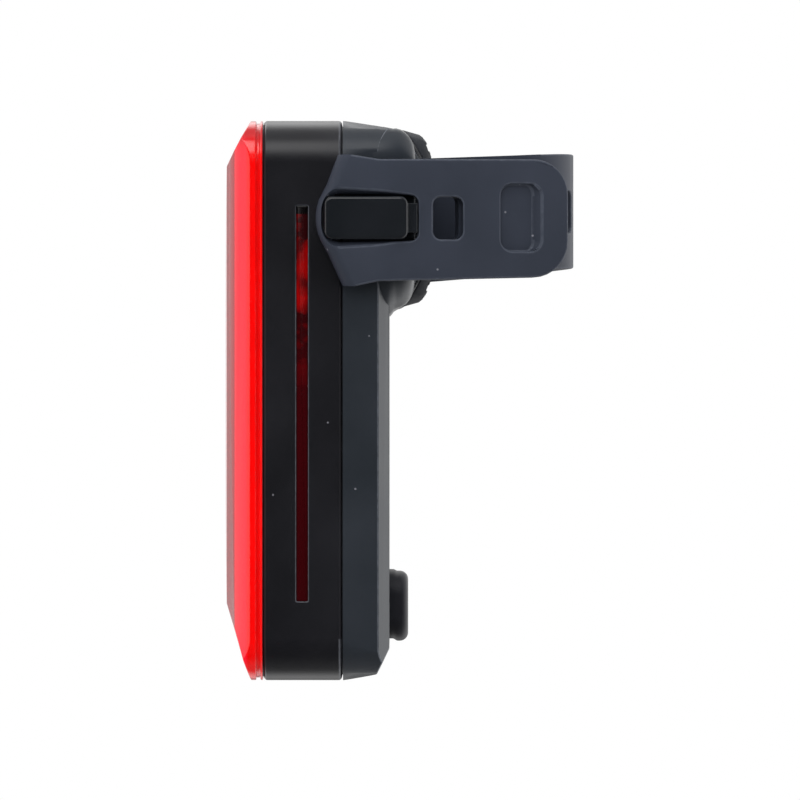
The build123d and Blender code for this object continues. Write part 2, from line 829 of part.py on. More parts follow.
def makeStrapTail():
    # Outer layer back from the fold, with its holes, finger recess and rounded tip
    bend = (outer_bend_x, -layer_outer)
    reach = tail_reach_x + 1
    tip = (reach, -layer_outer + (reach - outer_bend_x) * run_slope)
    plan = bar(tail_hinge, bend, strap_thickness) + roundEnd(tail_hinge, strap_thickness)
    plan = plan + roundEnd(bend, strap_thickness) + bar(bend, tip, strap_thickness)
    outline = strapOutline(fold_tip_x, tail_reach_x, strap_tip_z, strap_tip_width)
    corners = outline.vertices().sort_by(Axis.X)[-2:]
    tail = alongStrap(plan) & sidePrism(fillet(corners, tail_corner_radius))
    tail = tail - acrossPrism(hookSlot(slot_front_x))
    hole_x = tail_reach_x - second_hole_from_tip
    tail = tail - acrossPrism(Pos(hole_x, hook_z) * loopHole())
    recess_x = tail_reach_x - recess_from_tip
    face = Pos(recess_x, strap_tip_z) * RectangleRounded(recess_length, recess_height, recess_corner)
    face_y = layer_outer - (recess_x - outer_bend_x) * run_slope + strap_thickness / 2 - recess_depth
    return tail - Pos(0, -face_y, 0) * acrossPrism(face)


def makeStrapRoot():
    # Wrap round the post and the captive end on the far hook
    gap = (strap_thickness / 2 + bend_gap) / wrap_radius
    start = (bend_x, layer_inner)
    end = (slot_front_x - 1.6, layer_inner)
    plan = wrapBand(gap - run_hinge_angle, wrap_half)
    plan = plan + bar((leave_x, leave_y), start, strap_thickness) + roundEnd(start, strap_thickness)
    plan = plan + bar(start, end, strap_thickness)
    outline = wrapOutline(end[0])
    corners = outline.vertices().sort_by(Axis.X)[:2]
    root = alongStrap(plan) & sidePrism(fillet(corners, root_corner_radius))
    root = root - mirror(acrossPrism(hookSlot(slot_front_x)), about=Plane.XZ)
    for i in range(loop_hole_count):
        root = root - wrapHole(i * loop_hole_pitch_deg - loop_hole_start_deg)
    return root


def keep(name, shape):
    shape.label = name
    export_step(shape, "parts/" + name + ".step")


keep("front_lens", makeFrontLens())
keep("lens_seal", makeLensSeal())
keep("inner_optic", makeInnerOptic())
keep("reflector", makeReflector())
keep("led_board", makeLedBoard())
for number, led_z in enumerate(ledHeights()):
    keep("led_" + str(number + 1), makeLed(led_z))
keep("main_housing", makeMainHousing())
keep("side_window_right", makeSideWindow(-1))
keep("side_window_left", makeSideWindow(1))
keep("housing_gasket", makeHousingGasket())
keep("back_cover", makeBackCover())
keep("main_board", makeMainBoard())
keep("board_link", makeBoardLink())
keep("charge_connector", makeConnector())
keep("port_anchor", makePortAnchor())
keep("port_cover", makePortCover())
keep("tact_switch", makeSwitch())
keep("switch_plunger", makePlunger())
keep("power_button", makePowerButton())
keep("battery_cell", makeBatteryCell())
keep("battery_tray", makeBatteryTray())
keep("battery_pad", makeBatteryPad())
keep("cover_screw_right", makeCoverScrew(-1))
keep("cover_screw_left", makeCoverScrew(1))
keep("strap_bracket", makeStrapBracket())
keep("bracket_screw_top", makeBracketScrew(bracket_screw_z))
keep("bracket_screw_bottom", makeBracketScrew(-bracket_screw_z))
keep("mount_pad", makeMountPad())
keep("strap_root", makeStrapRoot())
keep("strap_run", makeStrapRun())
keep("strap_tail", makeStrapTail())
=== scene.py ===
import json
import math
import bmesh
import bpy
from mathutils import Matrix, Vector


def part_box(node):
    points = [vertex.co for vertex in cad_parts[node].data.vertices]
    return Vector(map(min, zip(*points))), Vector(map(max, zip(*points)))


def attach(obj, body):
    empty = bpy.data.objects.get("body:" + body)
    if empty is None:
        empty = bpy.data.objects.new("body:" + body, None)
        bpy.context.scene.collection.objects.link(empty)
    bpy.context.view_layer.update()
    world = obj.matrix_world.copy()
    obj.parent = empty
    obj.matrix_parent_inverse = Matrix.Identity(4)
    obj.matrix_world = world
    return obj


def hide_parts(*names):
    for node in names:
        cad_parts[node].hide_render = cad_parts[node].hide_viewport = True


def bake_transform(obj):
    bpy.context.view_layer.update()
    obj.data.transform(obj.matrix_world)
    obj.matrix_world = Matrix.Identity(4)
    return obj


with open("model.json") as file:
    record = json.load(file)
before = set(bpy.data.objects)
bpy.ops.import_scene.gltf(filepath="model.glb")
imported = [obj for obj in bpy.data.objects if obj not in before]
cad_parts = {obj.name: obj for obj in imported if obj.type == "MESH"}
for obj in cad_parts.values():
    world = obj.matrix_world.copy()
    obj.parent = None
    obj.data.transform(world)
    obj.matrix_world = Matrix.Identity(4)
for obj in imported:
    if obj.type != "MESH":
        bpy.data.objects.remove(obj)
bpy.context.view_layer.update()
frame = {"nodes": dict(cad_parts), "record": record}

mm = 0.001
tiny = 1e-6  # metres between coordinates that are the same
close = 0.01  # millimetres between a corner and the place that is meant
nodes = frame["nodes"]
bodyOf = {n: b for b, names in frame["record"]["behaviour"]["bodies"].items() for n in names}


# What the small helpers share, all of them over Blender's own operators. A face is narrow, and so
# part of a bevel, below a share of the bevel's width
shop = {
    "sharpDegrees": 35, "flatDegrees": 0.3, "smoothDegrees": 32, "narrow": 0.3, "merge": 0.002,
    "sliceNear": 1e-7}


def deselectAll():
    if bpy.context.object and bpy.context.object.mode != "OBJECT":
        bpy.ops.object.mode_set(mode="OBJECT")
    bpy.ops.object.select_all(action="DESELECT")


def makeActive(obj):
    deselectAll()
    obj.select_set(True)
    bpy.context.view_layer.objects.active = obj


def editAs(obj, kind, choice):  # edit mode by vertex, edge or face, with all or nothing chosen
    makeActive(obj)
    bpy.ops.object.mode_set(mode="EDIT")
    bpy.ops.mesh.select_mode(type=kind)
    bpy.ops.mesh.select_all(action=choice)


def useModifier(obj, kind, **settings):
    makeActive(obj)
    modifier = obj.modifiers.new(kind.title(), kind)
    for name, value in settings.items():
        setattr(modifier, name, value)
    bpy.ops.object.modifier_apply(modifier=modifier.name)


def settle(obj):  # object back at the origin, place kept in the mesh
    makeActive(obj)
    bpy.ops.object.transform_apply(location=True, rotation=True, scale=True)
    return obj


def addBox(name, x, y, z):  # two numbers a side, in millimetres
    deselectAll()
    centre = [(a + b) / 2 * mm for a, b in (x, y, z)]
    bpy.ops.mesh.primitive_cube_add(size=1, location=centre)
    obj = bpy.context.object
    obj.name = name
    obj.scale = [(b - a) * mm for a, b in (x, y, z)]
    return settle(obj)


def addRod(name, centre, radius, depth, axis, sides):
    deselectAll()
    turn = {"X": (0, math.pi / 2, 0), "Z": (0, 0, 0)}[axis]
    place = [v * mm for v in centre]
    bpy.ops.mesh.primitive_cylinder_add(
        vertices=sides, radius=radius * mm, depth=depth * mm, location=place, rotation=turn)
    obj = bpy.context.object
    obj.name = name
    return settle(obj)


def pickEdges(obj, wanted):
    editAs(obj, "EDGE", "DESELECT")
    mesh = bmesh.from_edit_mesh(obj.data)
    for edge in mesh.edges:
        edge.select_set(bool(wanted(edge)))
    bmesh.update_edit_mesh(obj.data)


def insetFaces(obj, wanted, thickness, depth):
    editAs(obj, "FACE", "DESELECT")
    mesh = bmesh.from_edit_mesh(obj.data)
    for face in mesh.faces:
        face.select_set(bool(wanted(face)))
    bmesh.update_edit_mesh(obj.data)
    bpy.ops.mesh.inset(thickness=thickness * mm, depth=depth * mm)
    bpy.ops.object.mode_set(mode="OBJECT")


def isSharp(edge, degrees):
    return len(edge.link_faces) == 2 and edge.calc_face_angle(0) > math.radians(degrees)


def roundPicked(width, segments=3, highlightWhere=None, clamp=False):
    # The new narrow faces may be marked for a painted highlight along the edge, where the given test says so
    # of their middle
    bpy.ops.mesh.bevel(offset=width * mm, segments=segments, profile=0.5, clamp_overlap=clamp)
    if highlightWhere:
        mesh = bmesh.from_edit_mesh(bpy.context.object.data)
        # a face-corner mark that is 1 where the painted edge highlight goes
        layer = mesh.loops.layers.float.get("paintedEdgeLight") or mesh.loops.layers.float.new("paintedEdgeLight")
        for face in mesh.faces:
            narrow = face.calc_area() / face.calc_perimeter() < shop["narrow"] * width * mm
            if face.select and narrow and highlightWhere(face.calc_center_median() / mm):
                for loop in face.loops:
                    loop[layer] = 1.0
        bmesh.update_edit_mesh(bpy.context.object.data)
    bpy.ops.object.mode_set(mode="OBJECT")


def roundAlong(obj, axis, width, segments):  # rounds the edges that run along an axis
    others = [i for i in range(3) if i != "XYZ".index(axis)]

    def runsAlong(edge):
        a, b = (v.co for v in edge.verts)
        return all(abs(a[i] - b[i]) < tiny for i in others)

    pickEdges(obj, runsAlong)
    roundPicked(width, segments)


def roundEnd(obj, atX, width, segments):  # rounds the corners of a plate at a place along X
    pickEdges(obj, lambda e: all(abs(v.co.x / mm - atX) < close for v in e.verts)
              and abs(e.verts[0].co.z - e.verts[1].co.z) < tiny)
    roundPicked(width, segments)


def turnAbout(obj, degrees, centre=(0, 0, 0)):  # about an upright line
    place = Vector([v * mm for v in centre])
    turn = Matrix.Translation(place) @ Matrix.Rotation(math.radians(degrees), 4, "Z")
    obj.data.transform(turn @ Matrix.Translation(-place))


def cutOut(obj, cutter):
    useModifier(obj, "BOOLEAN", operation="DIFFERENCE", object=cutter, solver="EXACT")
    bpy.data.objects.remove(cutter)


def slicePiece(obj, point, normal):  # new edges where a plane meets the piece
    editAs(obj, "VERT", "SELECT")
    bpy.ops.mesh.bisect(plane_co=[v * mm for v in point], plane_no=normal, threshold=shop["sliceNear"])
    bpy.ops.object.mode_set(mode="OBJECT")


def smoothOff(obj, degrees=shop["smoothDegrees"]):
    makeActive(obj)
    bpy.ops.object.shade_smooth_by_angle(angle=math.radians(degrees))


def weighNormals(obj):
    useModifier(obj, "WEIGHTED_NORMAL", keep_sharp=True)


def everywhere(place):
    return True


def refineNode(name, edge, reshape=None, highlightWhere=everywhere, merge=shop["merge"], spare=None):
    # A merged copy of a CAD node with its sharp edges broken, which stands for the node
    piece = bpy.data.objects.new(name + "_finished", nodes[name].data.copy())
    bpy.context.scene.collection.objects.link(piece)
    editAs(piece, "VERT", "SELECT")
    bpy.ops.mesh.remove_doubles(threshold=merge * mm)
    bpy.ops.mesh.dissolve_limited(angle_limit=math.radians(shop["flatDegrees"]))
    bpy.ops.object.mode_set(mode="OBJECT")
    if reshape:
        reshape(piece)
    pickEdges(piece, lambda e: isSharp(e, shop["sharpDegrees"])
              and not (spare and all(spare(v.co / mm) for v in e.verts)))
    # the broken edges may carry the painted edge highlight
    roundPicked(edge, highlightWhere=highlightWhere)
    smoothOff(piece)
    weighNormals(piece)
    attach(piece, bodyOf[name])
    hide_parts(name)
    return piece


# Shared effects for the materials

def newGroup(name, inputs, outputs):
    group = bpy.data.node_groups.new(name, "ShaderNodeTree")
    for label, value in inputs.items():
        socket = group.interface.new_socket(name=label, in_out="INPUT", socket_type="NodeSocketFloat")
        socket.default_value = value
    for label in outputs:
        group.interface.new_socket(name=label, in_out="OUTPUT", socket_type="NodeSocketFloat")
    return group, group.nodes.new("NodeGroupInput"), group.nodes.new("NodeGroupOutput")


def addNode(tree, kind, **settings):
    node = tree.nodes.new(kind)
    for name, value in settings.items():
        setattr(node, name, value)
    return node


def addMath(tree, operation, a, b):
    node = addNode(tree, "ShaderNodeMath", operation=operation)
    for socket, value in zip(node.inputs, (a, b)):
        if isinstance(value, (int, float)):
            socket.default_value = value
        else:
            tree.links.new(value, socket)
    return node.outputs[0]


def makeGrainGroup():  # fine moulded grain: a height and a slow cloud
    group, entry, out = newGroup(
        "Moulded grain", {"Scale": 4000.0, "Cloud scale": 60.0}, ("Height", "Cloud"))
    place = addNode(group, "ShaderNodeTexCoord")
    for label, result, detail in (("Scale", "Height", 3), ("Cloud scale", "Cloud", 4)):
        noise = addNode(group, "ShaderNodeTexNoise")
        noise.inputs["Detail"].default_value = detail
        group.links.new(place.outputs["Object"], noise.inputs["Vector"])
        group.links.new(entry.outputs[label], noise.inputs["Scale"])
        group.links.new(noise.outputs["Fac"], out.inputs[result])
    return group


def makeDustGroup():  # a few specks of dust, one in some cells
    group, entry, out = newGroup("Dust specks", {"Scale": 500.0, "Size": 0.08, "Share": 0.12}, ("Mask",))
    place = addNode(group, "ShaderNodeTexCoord")
    cells = addNode(group, "ShaderNodeTexVoronoi", feature="F1")
    group.links.new(place.outputs["Object"], cells.inputs["Vector"])
    group.links.new(entry.outputs["Scale"], cells.inputs["Scale"])
    near = addMath(group, "LESS_THAN", cells.outputs["Distance"], entry.outputs["Size"])
    split = addNode(group, "ShaderNodeSeparateColor")
    group.links.new(cells.outputs["Color"], split.inputs[0])
    some = addMath(group, "LESS_THAN", split.outputs[0], entry.outputs["Share"])
    group.links.new(addMath(group, "MULTIPLY", near, some), out.inputs["Mask"])
    return group


def makeEdgeGroup():  # painted highlight on the marked edges, a little broken up
    group, entry, out = newGroup(
        "Painted edge highlights", {"Scale": 900.0, "Whole": 0.5, "Spread": 1.2, "Lost": 0.35}, ("Mask",))
    marked = addNode(group, "ShaderNodeAttribute", attribute_name="paintedEdgeLight")
    place = addNode(group, "ShaderNodeTexCoord")
    noise = addNode(group, "ShaderNodeTexNoise")
    group.links.new(place.outputs["Object"], noise.inputs["Vector"])
    group.links.new(entry.outputs["Scale"], noise.inputs["Scale"])
    patchy = addMath(group, "MULTIPLY", noise.outputs["Fac"], entry.outputs["Spread"])
    patchy = addMath(group, "ADD", patchy, entry.outputs["Whole"])
    patchy = addMath(group, "MINIMUM", addMath(group, "SUBTRACT", patchy, entry.outputs["Lost"]), 1.0)
    group.links.new(addMath(group, "MULTIPLY", marked.outputs["Fac"], patchy), out.inputs["Mask"])
    return group


grainGroup = makeGrainGroup()
dustGroup = makeDustGroup()
edgeHighlightGroup = makeEdgeGroup()


def srgb(r, g, b):  # 0 to 255 as seen, to Blender's linear colour
    def linear(v):
        v = v / 255
        return v / 12.92 if v <= 0.04045 else ((v + 0.055) / 1.055) ** 2.4
    return (linear(r), linear(g), linear(b), 1.0)


def useGroup(tree, group, **values):
    node = addNode(tree, "ShaderNodeGroup", node_tree=group)
    for label, value in values.items():
        node.inputs[label.replace("_", " ")].default_value = value
    return node


def mixColour(tree, factor, a, b):
    node = addNode(tree, "ShaderNodeMix", data_type="RGBA")
    for socket, value in ((node.inputs[0], factor), (node.inputs[6], a), (node.inputs[7], b)):
        if hasattr(value, "links"):
            tree.links.new(value, socket)
        else:
            socket.default_value = value
    return node.outputs[2]


def spreadTo(tree, value, low, high, fromLow=0.3, fromHigh=0.7):
    node = addNode(tree, "ShaderNodeMapRange")
    tree.links.new(value, node.inputs["Value"])
    for label, number in (("From Min", fromLow), ("From Max", fromHigh), ("To Min", low), ("To Max", high)):
        node.inputs[label].default_value = number
    return node.outputs[0]


def startMaterial(name):
    material = bpy.data.materials.new(name)
    material.use_nodes = True
    tree = material.node_tree
    return material, tree, tree.nodes["Principled BSDF"]


def dressShader(tree, shader, look, colour, rough, height):
    # Links colour, roughness and grain, and sets what stays constant on the shader itself
    tree.links.new(colour, shader.inputs["Base Color"])
    tree.links.new(rough, shader.inputs["Roughness"])
    bump = addNode(tree, "ShaderNodeBump")
    bump.inputs["Strength"].default_value = look["bump"]
    bump.inputs["Distance"].default_value = look["bumpDepth"]
    tree.links.new(height, bump.inputs["Height"])
    tree.links.new(bump.outputs[0], shader.inputs["Normal"])
    for label, value in look["shader"].items():
        shader.inputs[label].default_value = value


# Moulded finishes; what one doesn't name is as in the first dictionary. The edge colour is a painted highlight
# along the bevelled edges
plainFinish = {
    "cloudScale": 60.0, "edgeHighlightWhole": 0.4, "edgeHighlightShare": 0.5, "dustScale": 420.0, "dustShare": 0.05, "dust": 0.3,
    "dustTint": srgb(150, 150, 158), "roughSpread": 0.04, "bumpDepth": 0.00006, "shader": {}}
finishes = {
    "housingPlastic": {
        "dark": srgb(16, 16, 19), "light": srgb(22, 22, 26), "edge": srgb(88, 91, 98),
        "grainScale": 5200.0, "rough": 0.33, "bump": 0.15, "edgeHighlightShare": 0.6},
    "coverPlastic": {
        "dark": srgb(28, 32, 37), "light": srgb(34, 38, 44), "edge": srgb(104, 108, 116),
        "grainScale": 5200.0, "rough": 0.38, "bump": 0.2, "edgeHighlightShare": 0.6},
    "hookPlastic": {
        "dark": srgb(15, 18, 21), "light": srgb(23, 25, 29), "edge": srgb(104, 108, 116),
        "grainScale": 3000.0, "rough": 0.24, "bump": 0.05, "edgeHighlightShare": 0.7,
        "shader": {"Specular IOR Level": 0.55}},
    "softRubber": {
        "dark": srgb(21, 21, 26), "light": srgb(27, 28, 33), "edge": srgb(66, 68, 76),
        "grainScale": 6000.0, "rough": 0.5, "bump": 0.2, "edgeHighlightShare": 0.3,
        "shader": {"Specular IOR Level": 0.45}},
    "padRubber": {
        "dark": srgb(26, 28, 32), "light": srgb(32, 34, 39), "edge": srgb(80, 84, 92),
        "grainScale": 6000.0, "rough": 0.65, "bump": 0.25, "edgeHighlightShare": 0.3,
        "shader": {"Specular IOR Level": 0.2}},
    "strapSilicone": {
        "dark": srgb(39, 43, 52), "light": srgb(45, 49, 59), "edge": srgb(108, 114, 126),
        "grainScale": 7000.0, "rough": 0.55, "bump": 0.12, "dust": 0.4, "dustShare": 0.07,
        "edgeHighlightShare": 0.2, "edgeHighlightWhole": 0.3, "shader": {"Specular IOR Level": 0.25}},
    "whiteTray": {
        "dark": srgb(205, 205, 202), "light": srgb(222, 222, 218), "edge": srgb(240, 240, 238),
        "grainScale": 4000.0, "rough": 0.4, "bump": 0.08},
    "boardLacquer": {
        "dark": srgb(12, 60, 34), "light": srgb(20, 78, 46), "edge": srgb(150, 140, 90),
        "grainScale": 2500.0, "rough": 0.35, "bump": 0.1, "cloudScale": 300.0},
    "cellWrap": {
        "dark": srgb(150, 152, 156), "light": srgb(178, 180, 184), "edge": srgb(220, 222, 226),
        "grainScale": 1200.0, "rough": 0.38, "bump": 0.35, "shader": {"Metallic": 0.7}},
    "steel": {
        "dark": srgb(84, 86, 90), "light": srgb(110, 112, 116), "edge": srgb(150, 152, 156),
        "grainScale": 3000.0, "rough": 0.32, "bump": 0.15, "shader": {"Metallic": 1.0}},
    "lampChip": {
        "dark": srgb(224, 206, 120), "light": srgb(240, 226, 160), "edge": srgb(250, 250, 246),
        "grainScale": 2500.0, "rough": 0.3, "bump": 0.1}}


def makeFinish(name, own):
    # Two near colours in a slow cloud, grain, dust and a painted highlight along the edges
    look = {**plainFinish, **own}
    material, tree, shader = startMaterial(name)
    grain = useGroup(tree, grainGroup, Scale=look["grainScale"], Cloud_scale=look["cloudScale"])
    cloud = spreadTo(tree, grain.outputs["Cloud"], 0, 1)
    colour = mixColour(tree, cloud, look["dark"], look["light"])
    # painted highlight along the bevelled edges, mixed in as colour
    edges = useGroup(tree, edgeHighlightGroup, Whole=look["edgeHighlightWhole"])
    paintedShine = addMath(tree, "MULTIPLY", edges.outputs[0], look["edgeHighlightShare"])
    colour = mixColour(tree, paintedShine, colour, look["edge"])
    dust = useGroup(tree, dustGroup, Scale=look["dustScale"], Share=look["dustShare"])
    specks = addMath(tree, "MULTIPLY", dust.outputs[0], look["dust"])
    colour = mixColour(tree, specks, colour, look["dustTint"])
    rough, spread = look["rough"], look["roughSpread"]
    rough = spreadTo(tree, grain.outputs["Cloud"], rough - spread, rough + spread)
    dressShader(tree, shader, look, colour, rough, grain.outputs["Height"])
    return material


# Clear coloured plastics; a zone is a direction, where the tint starts and where it is full. On the red lens
# the zones are painted light and shade
plainLens = {
    "grainScale": 900.0, "cloudScale": 90.0, "cloud": (0.3, 0.7), "zones": [], "roughSpread": (0.02, 0.03),
    "bump": 0.05, "bumpDepth": 0.00004}
lensLooks = {
    "redLens": {
        "dark": srgb(216, 0, 0), "light": srgb(230, 0, 0), "rough": 0.13,
        # painted light and shade: a lighter pink band, a darker facet and the front strip along X, and a
        # painted darker top
        "zones": [((1, 0, 0), -42.4, -42.9, srgb(240, 14, 40)), ((1, 0, 0), -44.6, -44.9, srgb(192, 10, 28)),
                  ((1, 0, 0), -46.2, -46.4, srgb(216, 10, 20)), ((0, 0, 1), 11.4, 14.4, srgb(176, 2, 12))],
        "shader": {"Transmission Weight": 0.1, "IOR": 1.45, "Coat Weight": 0.6, "Coat Roughness": 0.1}},
    "clearOptic": {
        "dark": srgb(236, 226, 226), "light": srgb(248, 242, 242), "rough": 0.05,
        "shader": {"Transmission Weight": 0.9, "IOR": 1.49}},
    "redWindow": {
        "dark": srgb(34, 2, 4), "light": srgb(128, 0, 1), "rough": 0.12, "cloudScale": 150.0,
        "cloud": (0.42, 0.58),
        "zones": [((0, 0, 1), -14, -30, srgb(46, 2, 5)), ((0, 0, 1), 0.2, 0.4, srgb(5, 4, 5))],
        "shader": {"Transmission Weight": 0.05, "IOR": 1.45, "Specular IOR Level": 0.4}}}


def makeLensFinish(name, own):
    # Colour in a cloud and in zones along a direction, with a faint grain bump
    look = {**plainLens, **own}
    material, tree, shader = startMaterial(name)
    grain = useGroup(tree, grainGroup, Scale=look["grainScale"], Cloud_scale=look["cloudScale"])
    cloud = spreadTo(tree, grain.outputs["Cloud"], 0, 1, *look["cloud"])
    colour = mixColour(tree, cloud, look["dark"], look["light"])
    place = addNode(tree, "ShaderNodeTexCoord")
    for direction, start, end, tint in look["zones"]:
        along = addNode(tree, "ShaderNodeVectorMath", operation="DOT_PRODUCT")
        tree.links.new(place.outputs["Object"], along.inputs[0])
        along.inputs[1].default_value = direction
        share = spreadTo(tree, along.outputs["Value"], 0, 1, start * mm, end * mm)
        colour = mixColour(tree, share, colour, tint)
    rough, (less, more) = look["rough"], look["roughSpread"]
    rough = spreadTo(tree, grain.outputs["Height"], rough - less, rough + more)
    dressShader(tree, shader, look, colour, rough, grain.outputs["Height"])
    return material


materials = {name: makeFinish(name, look) for name, look in finishes.items()}
materials.update({name: makeLensFinish(name, look) for name, look in lensLooks.items()})
print("materials made:", len(materials))


def wear(obj, finish):
    obj.data.materials.clear()
    obj.data.materials.append(materials[finish])
    for polygon in obj.data.polygons:
        polygon.material_index = 0


# Finishes of the CAD nodes that stay as they are
nodeFinish = {
    "lens_seal": "softRubber", "inner_optic": "clearOptic", "reflector": "whiteTray",
    "led_board": "boardLacquer", "housing_gasket": "softRubber", "main_board": "boardLacquer",
    "board_link": "hookPlastic", "charge_connector": "steel", "port_anchor": "softRubber",
    "tact_switch": "steel", "switch_plunger": "softRubber", "battery_cell": "cellWrap",
    "battery_tray": "whiteTray", "battery_pad": "softRubber", "bracket_screw_top": "steel",
    "bracket_screw_bottom": "steel"}
nodeFinish.update({"led_" + str(number): "lampChip" for number in range(1, 9)})
for name, finish in nodeFinish.items():
    for materialSlot in nodes[name].material_slots:
        materialSlot.material = materials[finish]


# Boss behind the light, fuller at its upper and lower corners than a plain round: by how much
# at an angle from upright
boss = {
    "fromX": -17.82, "reach": (1, 17.2),
    "grow": [(0, 0), (19, 0.045), (28, 0.07), (38, 0.055), (50, 0.025), (60, 0)]}


def fullerBoss(piece):
    near, far = boss["reach"]
    for vertex in piece.data.vertices:
        x, y, z = vertex.co / mm
        if x < boss["fromX"] or not near <= math.hypot(y, z) <= far:
            continue
        angle = math.degrees(math.atan2(abs(y), abs(z)))
        for (a0, g0), (a1, g1) in zip(boss["grow"], boss["grow"][1:]):
            if a0 <= angle <= a1:
                scale = 1 + g0 + (g1 - g0) * (angle - a0) / (a1 - a0)
                vertex.co = Vector((x, y * scale, z * scale)) * mm
    piece.data.update()


shoulder = {
    "x": (-21.4, -13.3), "half": 19.0, "z": (-15.9, 16.8), "corner": 7.5, "cornerSteps": 14,
    "stations": (-20.6, -20.0, -19.4, -18.8, -18.2, -17.6, -17.0, -16.4, -15.7, -15.0, -14.4, -13.9, -13.55),
    "flush": 18.74, "tuck": 0.14, "taperFrom": -19.9, "taper": 0.034,
    "topFrom": -25.9, "topSlope": 0.173, "topProud": 0.04, "topTuck": 0.15,
    "roundFrom": -16.6, "endHalf": 11.0, "footFrom": -16.2, "footLong": 1.6, "foot": 1.5,
    "postRadius": 16.5, "postLong": 60, "postSides": 160,
    "rimFrom": -17, "rimDegrees": 50, "rim": 0.35, "smoothDegrees": 40}


def makeShoulder():
    # Smooth saddle that carries the cover's sides back to the boss, its front end inside the cover
    look = shoulder
    (x0, x1), (low, high) = look["x"], look["z"]
    obj = addBox("coverShoulder", (x0, x1), (-look["half"], look["half"]), (low, high))
    roundAlong(obj, "X", look["corner"], look["cornerSteps"])
    for x in look["stations"]:
        slicePiece(obj, (x, 0, 0), (1, 0, 0))
    for vertex in obj.data.vertices:
        x, y, z = vertex.co / mm
        front = x <= x0 + close
        flush = look["flush"] - (look["tuck"] if front else 0)
        wide = flush - look["taper"] * max(x - look["taperFrom"], 0) ** 2
        y = max(min(y, flush), -flush) * wide / flush
        lift = -look["topTuck"] if front else look["topProud"]
        top = high - look["topSlope"] * (x - look["topFrom"]) + lift
        z = min(z, top)
        share = max(x - look["roundFrom"], 0) / (x1 - look["roundFrom"])
        limit = top if z > 0 else -low
        height = look["endHalf"] + (limit - look["endHalf"]) * math.sqrt(max(1 - share * share, 0))
        if z < 0 and x < look["footFrom"]:
            height += look["foot"] * min((look["footFrom"] - x) / look["footLong"], 1) ** 2
        z *= height / limit
        vertex.co = Vector((x, y, z)) * mm
    obj.data.update()
    cutOut(obj, addRod("cutter", (0, 0, 0), look["postRadius"], look["postLong"], "Z", look["postSides"]))
    pickEdges(obj, lambda e: isSharp(e, look["rimDegrees"])
              and all(v.co.x / mm > look["rimFrom"] for v in e.verts))
    roundPicked(look["rim"])
    smoothOff(obj, look["smoothDegrees"])
    weighNormals(obj)
    wear(obj, "coverPlastic")
    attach(obj, "light")


# Side window slots with square ends, and a window with a sunk glass in each
window = {
    "x": (-34.0, -31.95), "z": (-67.1, 1.75), "face": 18.75, "back": 17.9, "outside": 19.6, "gap": 0.04,
    "corner": 0.2, "cornerSteps": 3, "facing": 0.9, "frontInset": (0.25, 0.08), "backInset": (0.2, 0.5)}


def squareSlots(piece):
    for side in (-1, 1):
        ys = sorted((side * window["back"], side * window["outside"]))
        cutter = addBox("cutter", window["x"], ys, window["z"])
        roundAlong(cutter, "Y", window["corner"], window["cornerSteps"])
        cutOut(piece, cutter)


def makeWindow(name, side):
    (x0, x1), (z0, z1), gap = window["x"], window["z"], window["gap"]
    ys = sorted((side * window["back"], side * window["face"]))
    obj = addBox(name, (x0 + gap, x1 - gap), ys, (z0 + gap, z1 - gap))
    roundAlong(obj, "Y", window["corner"], window["cornerSteps"])
    insetFaces(obj, lambda f: f.normal.y * side > window["facing"], *window["frontInset"])
    insetFaces(obj, lambda f: f.normal.y * side < -window["facing"], *window["backInset"])
    smoothOff(obj)
    wear(obj, "redWindow")
    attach(obj, "light")
    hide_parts(name)


# The lens's lower slope starts a little higher
lensSlope = {"toX": -44.3, "toZ": -60, "up": 1.2}


def longerSlope(piece):
    for vertex in piece.data.vertices:
        x, y, z = vertex.co / mm
        if x < lensSlope["toX"] and z < lensSlope["toZ"]:
            vertex.co.z += lensSlope["up"] * mm
    piece.data.update()


# The button is lower, but only in the part that stays outside when it is pressed
button = {"slices": (-17.05, -16.5), "fromX": -16.6, "down": 0.28, "lowEnd": -68, "lowEndDown": 0.12}


def lowerButton(piece):
    for x in button["slices"]:
        slicePiece(piece, (x, 0, 0), (1, 0, 0))
    for vertex in piece.data.vertices:
        if vertex.co.x / mm > button["fromX"]:
            more = button["lowEndDown"] if vertex.co.z / mm < button["lowEnd"] else 0
            vertex.co.z -= (button["down"] + more) * mm
    piece.data.update()


# Hook arm, as tall as the hook's head where it shows
hookArm = {
    "x": (-17.4, -12.9), "y": (10.5, 21.45), "midZ": -0.45, "half": 4, "grow": 1.42,
    "corner": 1.5, "cornerSteps": 5, "endLong": 0.3, "shortest": 2}


def tallerArm(piece):
    fullerBoss(piece)
    (x0, x1), (y0, y1), mid = hookArm["x"], hookArm["y"], hookArm["midZ"]

    def onArm(place):
        inReach = x0 < place.x / mm < x1 and y0 < abs(place.y / mm) < y1
        return inReach and abs(place.z / mm - mid) < hookArm["half"]

    for vertex in piece.data.vertices:
        if onArm(vertex.co):
            vertex.co.z = (mid + (vertex.co.z / mm - mid) * hookArm["grow"]) * mm
    pickEdges(piece, lambda e: all(onArm(v.co) and v.co.x / mm > x1 - hookArm["endLong"] for v in e.verts)
              and abs(e.verts[0].co.y - e.verts[1].co.y) > hookArm["shortest"] * mm)
    roundPicked(hookArm["corner"], hookArm["cornerSteps"])


# Where edges get a painted highlight, and a rim that keeps its own chamfer
rims = {"coverFront": -25.3, "lensEnd": -39, "hookSide": 21.6, "hookEnd": -14.8}


def coverSeam(place):
    return place.x < rims["coverFront"]


def behindLens(place):  # no light line where the housing meets the lens
    return place.x > rims["lensEnd"]


def awayFromStrap(place):  # painted highlight on the hook's own edges, not the bracket's plate
    return abs(place.y) > rims["hookSide"] and place.x < rims["hookEnd"]
